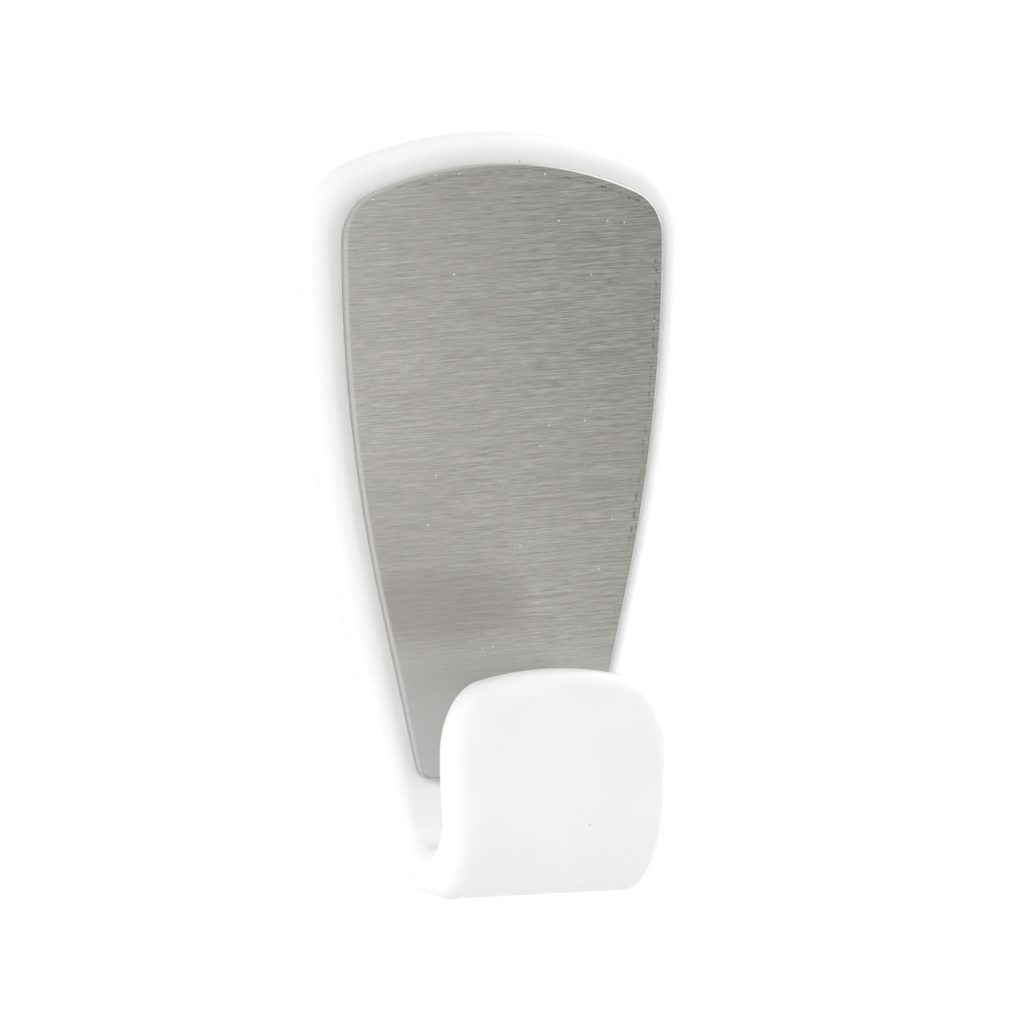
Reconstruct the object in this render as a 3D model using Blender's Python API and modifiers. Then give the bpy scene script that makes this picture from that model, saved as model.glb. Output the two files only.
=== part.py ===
"""Double suction cup hook: a white moulded J hook with a brushed steel face, held by two suction cups.

Metres, +Z up. The front faces -Y and the wall is the plane Y = 0. The origin lies on the wall, on the
centre line, midway between the two cups. Sizes called heights are measured up from the hook's lowest
point, and sizes called depths are measured forward from the heel, the rearmost line of the moulding.
"""
import math
from collections import namedtuple

import bmesh
import bpy
import numpy as np

MM = 0.001

# Suction cups: two alike, one above the other
CUP_DIAMETER = 30.0 * MM
CUP_GAP = 1.5 * MM
CUP_SEAL_WIDTH = 1.4 * MM
CUP_RIM_THICKNESS = 0.6 * MM
CUP_CROWN_THICKNESS = 2.2 * MM
CUP_HUB_DIAMETER = 12.0 * MM
CUP_NECK_DIAMETER = 6.4 * MM
CUP_HEAD_DIAMETER = 10.0 * MM
CUP_HEAD_THICKNESS = 0.8 * MM
CUP_BACK_CURVE = 1.4
CUP_HOLLOW_CURVE = 2.2
LOWER_CUP_HEIGHT = 30.6 * MM
WALL_GAP = 3.0 * MM

# Sockets for the cups in the plate
SOCKET_FLOOR = 0.9 * MM
SOCKET_CLEARANCE = 0.3 * MM
AXIAL_PLAY = 0.12 * MM

# Steel face: a keystone sheet held proud of the plate
FACE_WIDTH = 38.2 * MM
UPPER_CUP_TO_FACE_CROWN = 13.68 * MM
FACE_CROWN_RADIUS = 42.8 * MM
FACE_CORNER_RADIUS = 5.2 * MM
FACE_SIDE_RADIUS = 157.0 * MM
FACE_BOTTOM_HEIGHT = 12.0 * MM
FACE_BOTTOM_CORNER = 1.5 * MM
FACE_THICKNESS = 0.8 * MM
FACE_EDGE_ROUND = 0.3 * MM

# Adhesive foam tape under the steel, in a shallow recess of the plate
ADHESIVE_INSET = 0.5 * MM
ADHESIVE_THICKNESS = 0.85 * MM
GLUE_LINE = 0.04 * MM
RECESS_DEPTH = 0.24 * MM
RECESS_CLEARANCE = 0.15 * MM

# Plate of the moulding
RIM_WIDTH = 3.24 * MM
SIDE_TAPER = math.radians(13.7)
PLATE_CROWN_RADIUS = 48.6 * MM
PLATE_CORNER_RADIUS = 8.2 * MM
PLATE_SIDE_RADIUS = 148.0 * MM
PLATE_ROOT_THICKNESS = 4.6 * MM
PLATE_TOP_THICKNESS = 2.5 * MM
PLATE_EDGE_ROUND = 2.3 * MM
PLATE_REAR_ROUND = 0.5 * MM
SKIRT_WALL = 2.0 * MM
CAVITY_BELOW_CUP = 0.6 * MM
CAVITY_CORNER = 3.0 * MM
RIB_WIDTH = 1.6 * MM

# Bend and lip of the moulding
THROAT_GAP = 9.0 * MM
FLOOR_THICKNESS = 5.0 * MM
THROAT_REAR_RADIUS = 3.0 * MM
THROAT_LIP_RADIUS = 4.5 * MM
HEEL_RADIUS = 9.0 * MM
UNDERSIDE_SLOPE = math.radians(5.5)
TOE_RADIUS = 4.8 * MM
TOE_LEAN = math.radians(39.0)
TOE_LEAN_RADIUS = 12.4 * MM
BEND_BLEND = 1.0 * MM
LIP_THICKNESS = 4.8 * MM
LIP_HEIGHT = 23.74 * MM
LIP_WIDTH = 26.0 * MM
LIP_CROWN_RADIUS = 37.6 * MM
LIP_CORNER_RADIUS = 5.3 * MM
LIP_TOP_STRETCH = 1.46
LIP_FLARE_RADIUS = 89.0 * MM
LIP_EDGE_ROUND = 2.5 * MM
LIP_BACK_ROUND = 1.9 * MM
EDGE_SHARE_OF_WALL = 0.95

# Facets
ARC_STEPS = 8
SIDE_STEPS = 10
BEND_STEPS = 9
ROUND_STEPS = 4
CUP_STEPS = 6
CUP_SEGMENTS = 40
SHARP_ANGLE = math.radians(35)
MERGE_DISTANCE = 0.01 * MM
SAME_POINT = 0.001 * MM

# Worked out from the sizes above
CUP_SPACING = CUP_DIAMETER + CUP_GAP
UPPER_CUP_HEIGHT = LOWER_CUP_HEIGHT + CUP_SPACING
CAVITY_BOTTOM_HEIGHT = LOWER_CUP_HEIGHT - CUP_DIAMETER / 2 - CAVITY_BELOW_CUP
FACE_CROWN_HEIGHT = UPPER_CUP_HEIGHT + UPPER_CUP_TO_FACE_CROWN
PLATE_CROWN_HEIGHT = FACE_CROWN_HEIGHT + RIM_WIDTH
ADHESIVE_BACK_DEPTH = PLATE_ROOT_THICKNESS - RECESS_DEPTH + GLUE_LINE
POCKET_DEPTH = CUP_HEAD_THICKNESS + 2 * AXIAL_PLAY
WEB_THICKNESS = SOCKET_FLOOR + POCKET_DEPTH + RECESS_DEPTH
LIP_BACK_DEPTH = PLATE_ROOT_THICKNESS + THROAT_GAP
LIP_FRONT_DEPTH = LIP_BACK_DEPTH + LIP_THICKNESS
ORIGIN_HEIGHT = (LOWER_CUP_HEIGHT + UPPER_CUP_HEIGHT) / 2
CUT_MARGIN = 5.0 * MM

# Keystone outlines, seen from the front
Keystone = namedtuple("Keystone", "width crown_height crown_radius corner_radius side_radius")
FACE = Keystone(FACE_WIDTH, FACE_CROWN_HEIGHT, FACE_CROWN_RADIUS, FACE_CORNER_RADIUS, FACE_SIDE_RADIUS)
PLATE = Keystone(FACE_WIDTH + 2 * RIM_WIDTH, PLATE_CROWN_HEIGHT, PLATE_CROWN_RADIUS, PLATE_CORNER_RADIUS,
                 PLATE_SIDE_RADIUS)


def clear_scene():
    """Removes every object of the open file."""
    for obj in list(bpy.data.objects):
        bpy.data.objects.remove(obj, do_unlink=True)


def make_collection(name):
    """Makes a collection under the scene's own one."""
    group = bpy.data.collections.new(name)
    bpy.context.scene.collection.children.link(group)
    return group


def make_material(name, color, roughness, metallic=0.0, transmission=0.0):
    """Makes a Principled material; the colour is linear."""
    material = bpy.data.materials.new(name)
    material.use_nodes = True
    shader = material.node_tree.nodes["Principled BSDF"]
    shader.inputs["Base Color"].default_value = (*color, 1.0)
    shader.inputs["Roughness"].default_value = roughness
    shader.inputs["Metallic"].default_value = metallic
    shader.inputs["Transmission Weight"].default_value = transmission
    return material


def add_object(name, bm, group, parent, material=None):
    """Turns a bmesh into a smooth-shaded object under a parent."""
    mesh = bpy.data.meshes.new(name)
    bm.to_mesh(mesh)
    bm.free()
    mesh.shade_smooth()
    mesh.set_sharp_from_angle(angle=SHARP_ANGLE)
    obj = bpy.data.objects.new(name, mesh)
    obj.parent = parent
    group.objects.link(obj)
    if material:
        mesh.materials.append(material)
    else:
        obj.hide_render = True
        obj.display_type = "WIRE"
    return obj


def add_mirror(obj):
    """Completes a right half that is open at the centre plane."""
    mirror = obj.modifiers.new("Mirror", "MIRROR")
    mirror.merge_threshold = MERGE_DISTANCE
    mirror.use_clip = True


def cut(obj, cutter):
    """Takes a cutter out of an object."""
    boolean = obj.modifiers.new("Cut " + cutter.name, "BOOLEAN")
    boolean.operation = "DIFFERENCE"
    boolean.object = cutter


def arc(centre, radius, start, end, steps):
    """Points on an arc from the start angle to the end angle, both included."""
    angles = np.linspace(start, end, steps + 1)
    return np.stack([centre[0] + radius * np.cos(angles), centre[1] + radius * np.sin(angles)], axis=1)


def crowned_top(width, top, crown_radius, corner_radius):
    """Right half of a crowned top, from its middle down to where the side is upright."""
    corner_x = width / 2 - corner_radius
    crown_centre = top - crown_radius
    corner_z = crown_centre + math.sqrt((crown_radius - corner_radius) ** 2 - corner_x ** 2)
    meet = math.atan2(corner_z - crown_centre, corner_x)
    crown = arc((0.0, crown_centre), crown_radius, math.pi / 2, meet, ARC_STEPS)
    corner = arc((corner_x, corner_z), corner_radius, meet, 0.0, ARC_STEPS)
    return np.concatenate([crown, corner[1:]])


def keystone(shape, grow, bottom):
    """Right half of a keystone outline as (x, height), grown all round, down to a bottom height."""
    half = shape.width / 2 + grow
    top = crowned_top(2 * half, shape.crown_height + grow, shape.crown_radius + grow,
                      shape.corner_radius + grow)
    side_radius = shape.side_radius + grow
    side = arc((half - side_radius, top[-1, 1]), side_radius, 0.0, -SIDE_TAPER, SIDE_STEPS)
    end_x, end_z = side[-1]
    foot = (end_x - math.tan(SIDE_TAPER) * (end_z - bottom), bottom)
    return np.concatenate([top, side[1:], [foot]])


def drop_repeats(points):
    """Leaves out points that repeat the one before them."""
    steps = np.linalg.norm(np.diff(points, axis=0), axis=1)
    return points[np.concatenate([[True], steps > SAME_POINT])]


def inward_normals(points):
    """Unit normals of a right-half outline that runs downwards, pointing to its inside."""
    mirrored_ends = np.concatenate([points[1:2] * [-1, 1], points, points[-2:-1] * [-1, 1]])
    steps = np.diff(mirrored_ends, axis=0)
    steps /= np.linalg.norm(steps, axis=1)[:, None]
    along = steps[:-1] + steps[1:]
    along /= np.linalg.norm(along, axis=1)[:, None]
    return np.stack([along[:, 1], -along[:, 0]], axis=1)


def foot_corner(outline, radius):
    """Rounds the last corner of an outline and closes it along a level line to the centre plane."""
    x, z = outline[-1]
    reach = radius * math.tan((math.pi / 2 - SIDE_TAPER) / 2)
    round_end = arc((x - reach, z + radius), radius, -SIDE_TAPER, -math.pi / 2, ARC_STEPS)
    return np.concatenate([outline[:-1], round_end, [(0.0, z)]])


def ring_quads(bm, loops):
    """Joins each ring of vertices to the next with quads."""
    for lower, upper in zip(loops, loops[1:]):
        for i in range(len(lower) - 1):
            bm.faces.new((lower[i], lower[i + 1], upper[i + 1], upper[i]))


def half_sheet(outline, back_depth, front_depth, edge_round=0.0):
    """Right half of a flat sheet between two depths, open at the centre plane, its front edge rounded."""
    outline = drop_repeats(outline)
    normals = inward_normals(outline)
    rings = [(0.0, back_depth), (0.0, front_depth - edge_round)]
    if edge_round > 0:
        for turn in np.linspace(0.0, math.pi / 2, ROUND_STEPS + 1)[1:]:
            rings.append((edge_round * (1 - math.cos(turn)), front_depth - edge_round * (1 - math.sin(turn))))
    bm = bmesh.new()
    loops = []
    for inset, depth in rings:
        ring = outline + inset * normals
        ring[[0, -1], 0] = 0.0
        loops.append([bm.verts.new((x, -depth, z)) for x, z in ring])
    ring_quads(bm, loops)
    bm.faces.new(loops[0])
    bm.faces.new(loops[-1])
    bmesh.ops.recalc_face_normals(bm, faces=bm.faces)
    return bm


def bend_stations():
    """Side profile of the strip as rows of (run, throat depth, throat height, back depth, back height).

    Each row is one straight cross line of the strip, from its throat side to its back side. Run is the
    length along the middle of the strip, from the crown of the plate round to the top of the lip. The
    underside falls a little from the heel to the toe, where a tight arc and then a wide one turn it up
    into the lip.
    """
    rear_radius = min(THROAT_REAR_RADIUS, THROAT_GAP / 2)
    lip_radius = min(THROAT_LIP_RADIUS, THROAT_GAP / 2)
    rear_centre = (PLATE_ROOT_THICKNESS + rear_radius, FLOOR_THICKNESS + rear_radius)
    lip_centre = (LIP_BACK_DEPTH - lip_radius, FLOOR_THICKNESS + lip_radius)
    fall = 1.5 * math.pi - UNDERSIDE_SLOPE
    lean_centre = (LIP_FRONT_DEPTH - TOE_LEAN_RADIUS, TOE_RADIUS + (TOE_LEAN_RADIUS - TOE_RADIUS)
                   * math.sin(TOE_LEAN))
    toe_centre = (lean_centre[0] + (TOE_LEAN_RADIUS - TOE_RADIUS) * math.cos(TOE_LEAN), TOE_RADIUS)
    turn_end = 2 * math.pi - TOE_LEAN
    toe = arc(toe_centre, TOE_RADIUS, fall, turn_end, BEND_STEPS)
    lean = arc(lean_centre, TOE_LEAN_RADIUS, turn_end, 2 * math.pi, BEND_STEPS)
    toe = np.concatenate([toe, lean[1:]])
    heel_end_depth = HEEL_RADIUS * (1 - math.sin(UNDERSIDE_SLOPE))
    heel_end_height = toe[0, 1] + math.tan(UNDERSIDE_SLOPE) * (toe[0, 0] - heel_end_depth)
    heel_height = heel_end_height + HEEL_RADIUS * math.cos(UNDERSIDE_SLOPE)
    heel = arc((HEEL_RADIUS, heel_height), HEEL_RADIUS, math.pi, fall, BEND_STEPS)
    throat_rear = arc(rear_centre, rear_radius, math.pi, 1.5 * math.pi, BEND_STEPS)
    throat_lip = arc(lip_centre, lip_radius, 1.5 * math.pi, 2 * math.pi, 2 * BEND_STEPS)
    plate_foot = max(rear_centre[1], heel_height) + BEND_BLEND
    lip_foot = max(lip_centre[1], lean_centre[1]) + BEND_BLEND
    rows = [(PLATE_ROOT_THICKNESS, PLATE_CROWN_HEIGHT, PLATE_ROOT_THICKNESS - PLATE_TOP_THICKNESS,
             PLATE_CROWN_HEIGHT)]
    rows.append((PLATE_ROOT_THICKNESS, plate_foot, 0.0, plate_foot))
    rows += [(*inner, *outer) for inner, outer in zip(throat_rear, heel)]
    rows += [(*inner, *outer) for inner, outer in zip(throat_lip, toe)]
    rows.append((LIP_BACK_DEPTH, lip_foot, LIP_FRONT_DEPTH, lip_foot))
    rows.append((LIP_BACK_DEPTH, LIP_HEIGHT, LIP_FRONT_DEPTH, LIP_HEIGHT))
    rows = np.array(rows)
    middle = (rows[:, 0:2] + rows[:, 2:4]) / 2
    run = np.concatenate([[0.0], np.cumsum(np.linalg.norm(np.diff(middle, axis=0), axis=1))])
    return np.column_stack([run, rows])


def strip_outline(stations):
    """Right half of the strip's outline as (x, run), from the plate's crown to the top of the lip.

    The top of the lip is a crowned top, stretched in height so that its corners are taller than wide.
    """
    foot_height = stations[1, 2]
    plate = keystone(PLATE, 0.0, foot_height)
    foot_run = stations[1, 0]
    plate = np.stack([plate[:, 0], foot_run * (PLATE_CROWN_HEIGHT - plate[:, 1])
                      / (PLATE_CROWN_HEIGHT - foot_height)], axis=1)
    lip_start_run, lip_start_height = stations[-2, 0], stations[-2, 2]
    crown_radius = LIP_CROWN_RADIUS * LIP_TOP_STRETCH
    start_to_crown_centre = crown_radius - (LIP_HEIGHT - lip_start_height) / LIP_TOP_STRETCH
    corner_room = ((crown_radius ** 2 - (LIP_WIDTH / 2) ** 2 - start_to_crown_centre ** 2)
                   / (2 * crown_radius - LIP_WIDTH))
    lip_top = crowned_top(LIP_WIDTH, LIP_HEIGHT, crown_radius, min(LIP_CORNER_RADIUS, corner_room))
    lip_top[:, 1] = LIP_HEIGHT - LIP_TOP_STRETCH * (LIP_HEIGHT - lip_top[:, 1])
    widest_height = lip_top[-1, 1]
    flare_start = math.asin((lip_start_height - widest_height) / LIP_FLARE_RADIUS)
    flare = arc((LIP_WIDTH / 2 - LIP_FLARE_RADIUS, widest_height), LIP_FLARE_RADIUS, flare_start, 0.0,
                ARC_STEPS)
    lip = np.concatenate([flare, lip_top[::-1]])
    lip[:, 1] += lip_start_run - lip_start_height
    bend_run = stations[2:-2, 0]
    t = (bend_run - foot_run) / (lip_start_run - foot_run)
    span = lip_start_run - foot_run
    start_slope = -math.tan(SIDE_TAPER) * span
    end_slope = -math.tan(flare_start) * span
    bend_x = ((2 * t ** 3 - 3 * t ** 2 + 1) * plate[-1, 0] + (t ** 3 - 2 * t ** 2 + t) * start_slope
              + (3 * t ** 2 - 2 * t ** 3) * lip[0, 0] + (t ** 3 - t ** 2) * end_slope)
    bend = np.stack([bend_x, bend_run], axis=1)
    return drop_repeats(np.concatenate([plate, bend, lip]))


def hook_body_mesh():
    """Right half of the moulding: the strip's outline with rounded edges, carried round the J profile.

    The large edge radius is on the side that faces the room: the throat side of the plate, and the back
    side of the strip once it has turned up into the lip.
    """
    stations = bend_stations()
    outline = strip_outline(stations)
    normals = inward_normals(outline * [1, -1]) * [1, -1]
    foot_run, lip_run = stations[1, 0], stations[-2, 0]

    def place(x, run, share):
        """Point at a share of the way from the throat side to the back side."""
        inner = [np.interp(run, stations[:, 0], stations[:, k]) for k in (1, 2)]
        outer = [np.interp(run, stations[:, 0], stations[:, k]) for k in (3, 4)]
        depth = inner[0] + (outer[0] - inner[0]) * share
        height = inner[1] + (outer[1] - inner[1]) * share
        return np.stack([x, -depth, height], axis=1)

    def thickness(run):
        """Length of the cross line at a run."""
        zero = np.zeros_like(run)
        return np.linalg.norm(place(zero, run, zero + 1.0) - place(zero, run, zero), axis=1)

    turn = np.clip((outline[:, 1] - foot_run) / (lip_run - foot_run), 0.0, 1.0)
    turn = turn * turn * (3 - 2 * turn)
    throat_round = PLATE_EDGE_ROUND + (LIP_BACK_ROUND - PLATE_EDGE_ROUND) * turn
    back_round = PLATE_REAR_ROUND + (LIP_EDGE_ROUND - PLATE_REAR_ROUND) * turn
    wall = thickness(outline[:, 1])
    limit = np.minimum(1.0, EDGE_SHARE_OF_WALL * wall / (throat_round + back_round))
    throat_round = throat_round * limit
    back_round = back_round * limit

    bm = bmesh.new()
    loops = []
    angles = np.linspace(math.pi / 2, 0.0, ROUND_STEPS + 1)
    rings = [(throat_round * (1 - math.cos(a)), throat_round * (1 - math.sin(a)) / wall) for a in angles]
    rings += [(back_round * (1 - math.cos(a)), 1 - back_round * (1 - math.sin(a)) / wall)
              for a in angles[::-1]]
    for inset, share in rings:
        ring = outline + inset[:, None] * normals
        ring[:, 0] = np.maximum(ring[:, 0], 0.0)
        ring[[0, -1], 0] = 0.0
        loops.append([bm.verts.new(p) for p in place(ring[:, 0], ring[:, 1], share)])
    ring_quads(bm, loops)
    bend = np.flatnonzero((outline[:, 1] >= foot_run - SAME_POINT) & (outline[:, 1] <= lip_run + SAME_POINT))
    for loop, (inset, share) in ((loops[0], rings[0]), (loops[-1], rings[-1])):
        spine = place(np.zeros(len(bend)), (outline[:, 1] + inset * normals[:, 1])[bend], share[bend])
        middle = [bm.verts.new(p) for p in spine]
        edge = [loop[i] for i in bend]
        bm.faces.new([*loop[:bend[0]], edge[0], middle[0]])
        ring_quads(bm, [edge, middle])
        bm.faces.new([middle[-1], edge[-1], *loop[bend[-1] + 1:]])
    bmesh.ops.recalc_face_normals(bm, faces=bm.faces)
    return bm


def keystone_sheet(shape, grow, bottom, corner, back_depth, front_depth, edge_round=0.0):
    """Right half of a sheet with a keystone outline, grown all round, and a level foot."""
    outline = foot_corner(keystone(shape, grow, bottom), corner)
    return half_sheet(outline, back_depth, front_depth, edge_round)


def round_cutter(name, diameter, back_depth, front_depth, height, group, parent):
    """Cylinder along Y between two depths."""
    bm = bmesh.new()
    bmesh.ops.create_cone(bm, cap_ends=True, segments=CUP_SEGMENTS, radius1=diameter / 2,
                          radius2=diameter / 2, depth=front_depth - back_depth)
    obj = add_object(name, bm, group, parent)
    obj.rotation_euler = (math.pi / 2, 0.0, 0.0)
    obj.location = (0.0, -(back_depth + front_depth) / 2, height)
    return obj


def make_hook_body(group, cutters, parent, material):
    """White moulding: the J strip, its hollow back, the adhesive recess and the two cup sockets."""
    body = add_object("hook_body", hook_body_mesh(), group, parent, material)
    add_mirror(body)
    web_back = PLATE_ROOT_THICKNESS - WEB_THICKNESS
    recess_floor = PLATE_ROOT_THICKNESS - RECESS_DEPTH
    past_front = PLATE_ROOT_THICKNESS + CUT_MARGIN

    cavity_mesh = keystone_sheet(PLATE, -SKIRT_WALL, CAVITY_BOTTOM_HEIGHT, CAVITY_CORNER, -CUT_MARGIN,
                                 web_back)
    cavity = add_object("rear_cavity", cavity_mesh, cutters, parent)
    add_mirror(cavity)
    bm = bmesh.new()
    bmesh.ops.create_cube(bm, size=1.0)
    rib_size = (PLATE.width, 2 * (CUT_MARGIN + PLATE_ROOT_THICKNESS), RIB_WIDTH)
    bmesh.ops.scale(bm, vec=rib_size, verts=bm.verts)
    rib = add_object("rib_gap", bm, cutters, parent)
    rib.location = (0.0, 0.0, ORIGIN_HEIGHT)
    cut(cavity, rib)
    cut(body, cavity)

    recess_grow = RECESS_CLEARANCE - ADHESIVE_INSET
    recess_mesh = keystone_sheet(FACE, recess_grow, FACE_BOTTOM_HEIGHT - recess_grow, FACE_BOTTOM_CORNER,
                                 recess_floor, past_front)
    recess = add_object("adhesive_recess", recess_mesh, cutters, parent)
    add_mirror(recess)
    cut(body, recess)

    for place, height in (("lower", LOWER_CUP_HEIGHT), ("upper", UPPER_CUP_HEIGHT)):
        cut(body, round_cutter(place + "_head_pocket", CUP_HEAD_DIAMETER + 2 * SOCKET_CLEARANCE,
                               web_back + SOCKET_FLOOR, past_front, height, cutters, parent))
        cut(body, round_cutter(place + "_neck_hole", CUP_NECK_DIAMETER + 2 * SOCKET_CLEARANCE,
                               -CUT_MARGIN, past_front, height, cutters, parent))


def make_steel_face(group, parent, material):
    """Brushed sheet that stands off the plate's front on its tape, its front edge rolled over a little."""
    back = ADHESIVE_BACK_DEPTH + ADHESIVE_THICKNESS + GLUE_LINE
    mesh = keystone_sheet(FACE, 0.0, FACE_BOTTOM_HEIGHT, FACE_BOTTOM_CORNER, back, back + FACE_THICKNESS,
                          FACE_EDGE_ROUND)
    add_mirror(add_object("steel_face", mesh, group, parent, material))


def make_face_adhesive(group, parent, material):
    """Foam tape that stands in the plate's recess, covers the cup heads and carries the steel sheet."""
    mesh = keystone_sheet(FACE, -ADHESIVE_INSET, FACE_BOTTOM_HEIGHT + ADHESIVE_INSET, FACE_BOTTOM_CORNER,
                          ADHESIVE_BACK_DEPTH, ADHESIVE_BACK_DEPTH + ADHESIVE_THICKNESS)
    add_mirror(add_object("face_adhesive", mesh, group, parent, material))


def cup_profile():
    """Half section of a cup as (radius, distance from the wall), from its head down to its hollow."""
    web_back = WALL_GAP + PLATE_ROOT_THICKNESS - WEB_THICKNESS
    shoulder = web_back - AXIAL_PLAY
    head_back = web_back + SOCKET_FLOOR + AXIAL_PLAY
    head_front = head_back + CUP_HEAD_THICKNESS
    rim_radius = CUP_DIAMETER / 2
    land_radius = rim_radius - CUP_SEAL_WIDTH
    hub_radius = CUP_HUB_DIAMETER / 2
    head_edge = CUP_HEAD_THICKNESS / 2
    head_radius = CUP_HEAD_DIAMETER / 2
    neck_radius = CUP_NECK_DIAMETER / 2
    points = [(0.0, head_front)]
    points += arc((head_radius - head_edge, head_front - head_edge), head_edge, math.pi / 2, -math.pi / 2,
                  CUP_STEPS).tolist()
    points += [(neck_radius, head_back), (neck_radius, shoulder)]
    for share in np.linspace(0.0, 1.0, CUP_STEPS + 1):
        drop = (shoulder - CUP_RIM_THICKNESS) * share ** CUP_BACK_CURVE
        points.append((hub_radius + (rim_radius - hub_radius) * share, shoulder - drop))
    points.append((rim_radius, CUP_RIM_THICKNESS / 2))
    points.append((rim_radius - CUP_RIM_THICKNESS / 2, 0.0))
    hollow = shoulder - CUP_CROWN_THICKNESS
    for share in np.linspace(1.0, 0.0, CUP_STEPS + 1):
        points.append((land_radius * share, hollow * (1 - share ** CUP_HOLLOW_CURVE)))
    return points


def make_cup(name, height, group, parent, material):
    """Clear soft cup turned round its own axis, its origin on that axis at the wall."""
    mesh = bpy.data.meshes.new(name)
    points = cup_profile()
    verts = [(radius, 0.0, reach) for radius, reach in points]
    mesh.from_pydata(verts, [(i, i + 1) for i in range(len(verts) - 1)], [])
    mesh.materials.append(material)
    cup = bpy.data.objects.new(name, mesh)
    group.objects.link(cup)
    cup.parent = parent
    cup.location = (0.0, WALL_GAP, height)
    cup.rotation_euler = (math.pi / 2, 0.0, 0.0)
    screw = cup.modifiers.new("Turn", "SCREW")
    screw.axis = "Z"
    screw.steps = CUP_SEGMENTS
    screw.render_steps = CUP_SEGMENTS
    screw.use_merge_vertices = True
    screw.merge_threshold = MERGE_DISTANCE
    screw.use_smooth_shade = True


def main():
    clear_scene()
    parts = make_collection("double_suction_cup_hook")
    cutters = make_collection("cutters")
    white = make_material("white_plastic", (0.87, 0.87, 0.86), 0.35)
    steel = make_material("brushed_steel", (0.55, 0.54, 0.52), 0.35, metallic=1.0)
    foam = make_material("adhesive_foam", (0.75, 0.74, 0.68), 0.6)
    clear = make_material("clear_soft_plastic", (0.86, 0.90, 0.90), 0.15, transmission=0.8)
    heel = bpy.data.objects.new("heel_frame", None)
    heel.location = (0.0, -WALL_GAP, -ORIGIN_HEIGHT)
    parts.objects.link(heel)
    make_hook_body(parts, cutters, heel, white)
    make_steel_face(parts, heel, steel)
    make_face_adhesive(parts, heel, foam)
    make_cup("upper_suction_cup", UPPER_CUP_HEIGHT, parts, heel, clear)
    make_cup("lower_suction_cup", LOWER_CUP_HEIGHT, parts, heel, clear)


main()
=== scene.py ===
"""Looks of the double suction cup hook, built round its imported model.

Metres, +Z up. The front faces -Y and the wall is the plane Y = 0. Sizes called heights are measured up from
the hook's lowest point, and sizes called depths are measured forward from the heel, the rearmost line of the
moulding. Each piece is worked out in the place that its CAD node holds and stands for that node.
"""
import math

import bpy
import numpy as np
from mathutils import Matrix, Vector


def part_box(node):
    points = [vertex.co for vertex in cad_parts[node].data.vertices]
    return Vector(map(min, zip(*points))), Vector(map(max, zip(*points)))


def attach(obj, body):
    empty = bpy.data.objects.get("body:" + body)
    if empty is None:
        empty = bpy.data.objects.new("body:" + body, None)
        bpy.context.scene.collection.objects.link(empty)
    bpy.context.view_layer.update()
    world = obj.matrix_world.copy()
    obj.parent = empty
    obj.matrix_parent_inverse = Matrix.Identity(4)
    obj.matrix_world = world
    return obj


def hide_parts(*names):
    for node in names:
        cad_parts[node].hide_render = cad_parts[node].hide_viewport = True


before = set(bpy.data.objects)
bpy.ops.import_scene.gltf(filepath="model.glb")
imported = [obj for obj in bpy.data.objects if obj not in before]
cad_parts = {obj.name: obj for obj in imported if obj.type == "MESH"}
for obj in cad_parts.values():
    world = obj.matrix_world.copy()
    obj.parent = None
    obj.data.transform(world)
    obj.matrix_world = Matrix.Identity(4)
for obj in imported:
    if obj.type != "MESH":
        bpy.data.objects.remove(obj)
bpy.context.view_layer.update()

# Hook body
# One white plastic moulding: a keystone plate whose foot bends forward into an upright rounded lip.
# It is injection moulded in one shot, with soft front edges, a hollow back with a cross rib, a shallow
# recess for the adhesive tape and a stepped round socket for each cup.
MM = 0.001
BODY_LOW, BODY_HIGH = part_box("hook_body")
FACE_LOW, FACE_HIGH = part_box("steel_face")
FOOT_Z = BODY_LOW.z
HEEL_Y = BODY_HIGH.y
SIDE_TAPER = math.radians(13.7)
PLATE_WIDTH = BODY_HIGH.x - BODY_LOW.x
PLATE_CROWN_HEIGHT = BODY_HIGH.z - FOOT_Z
PLATE_CROWN_RADIUS = 48.6 * MM
PLATE_CORNER_RADIUS = 8.2 * MM
PLATE_SIDE_RADIUS = 148.0 * MM
PLATE_ROOT_THICKNESS = 4.6 * MM
PLATE_TOP_THICKNESS = 2.5 * MM
PLATE_EDGE_ROUND = 2.3 * MM
PLATE_REAR_ROUND = 0.5 * MM
THROAT_GAP = 9.0 * MM
FLOOR_THICKNESS = 5.0 * MM
THROAT_REAR_RADIUS = 3.0 * MM
THROAT_LIP_RADIUS = 4.5 * MM
HEEL_RADIUS = 9.0 * MM
UNDERSIDE_SLOPE = math.radians(5.5)
TOE_RADIUS = 4.8 * MM
TOE_LEAN = math.radians(39.0)
TOE_LEAN_RADIUS = 12.4 * MM
BEND_BLEND = 1.0 * MM
LIP_FRONT_DEPTH = HEEL_Y - BODY_LOW.y
LIP_BACK_DEPTH = PLATE_ROOT_THICKNESS + THROAT_GAP
LIP_HEIGHT = 23.74 * MM
LIP_WIDTH = 26.0 * MM
LIP_CROWN_RADIUS = 37.6 * MM
LIP_CORNER_RADIUS = 5.3 * MM
LIP_TOP_STRETCH = 1.46
LIP_FLARE_RADIUS = 89.0 * MM
LIP_EDGE_ROUND = 2.5 * MM
LIP_BACK_ROUND = 1.9 * MM
EDGE_SHARE_OF_WALL = 0.95
SKIRT_WALL = 2.0 * MM
CAVITY_BOTTOM_HEIGHT = 15.0 * MM
CAVITY_CORNER = 3.0 * MM
CAVITY_EDGE = 0.4 * MM
MOUTH_CLEAR = 0.01 * MM
WEB_BACK_DEPTH = 2.42 * MM
RIB_WIDTH = 1.6 * MM
CUP_HEIGHTS = {"upper": 62.1 * MM, "lower": 30.6 * MM}
SOCKET_FLOOR = 0.9 * MM
SOCKET_STEP_DEPTH = WEB_BACK_DEPTH + SOCKET_FLOOR
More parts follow.
